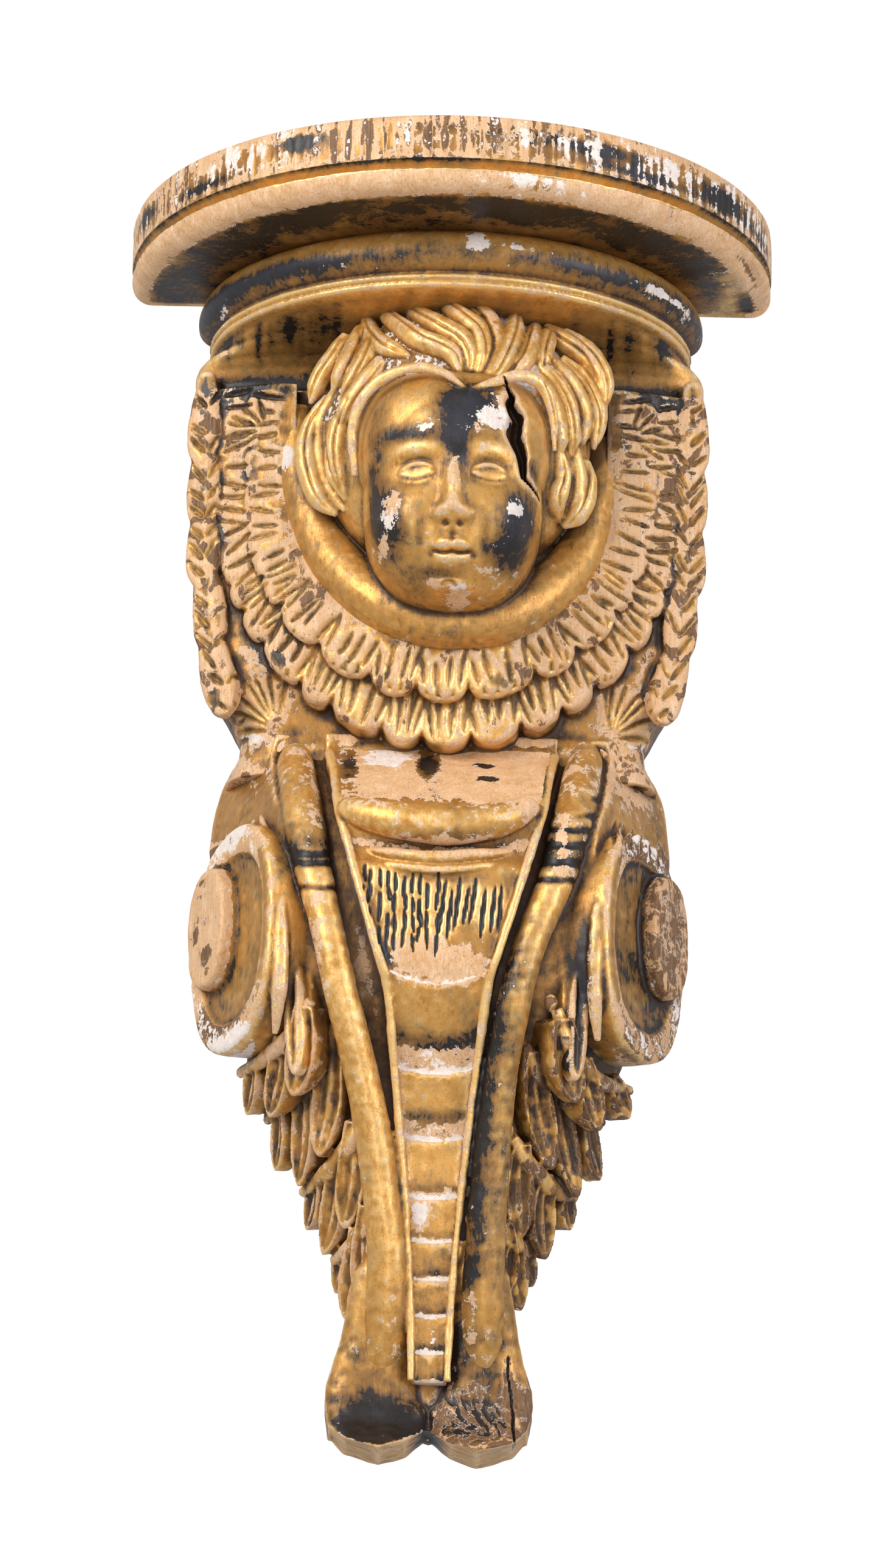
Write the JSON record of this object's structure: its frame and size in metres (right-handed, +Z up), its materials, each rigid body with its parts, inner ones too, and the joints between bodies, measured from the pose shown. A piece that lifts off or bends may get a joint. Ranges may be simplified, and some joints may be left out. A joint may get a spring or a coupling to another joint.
{
  "type": "wall bracket",
  "caption": "Half-round wall bracket shelf on a carved giltwood body with a winged child's head, a scrolled leafy console and a curled foot.",
  "frame": {"origin": "on the flat back, at the fixing point behind the head, 110 mm below the shelf's top", "axes": "+Z up; the front faces -Y, and the flat back lies in the plane y = 0 against the wall; +X to the viewer's right"},
  "size_m": [0.24, 0.12, 0.474],
  "materials": {
    "shelf_wood": "dark patinated gilding over gesso, worn and streaked",
    "gilded_carving": "worn gold leaf over ochre and gesso, with dark patina in the hollows"
  },
  "bodies": {
    "root": {"shelf": "shelf_wood", "carved_body": "gilded_carving"}
  },
  "joints": []
}
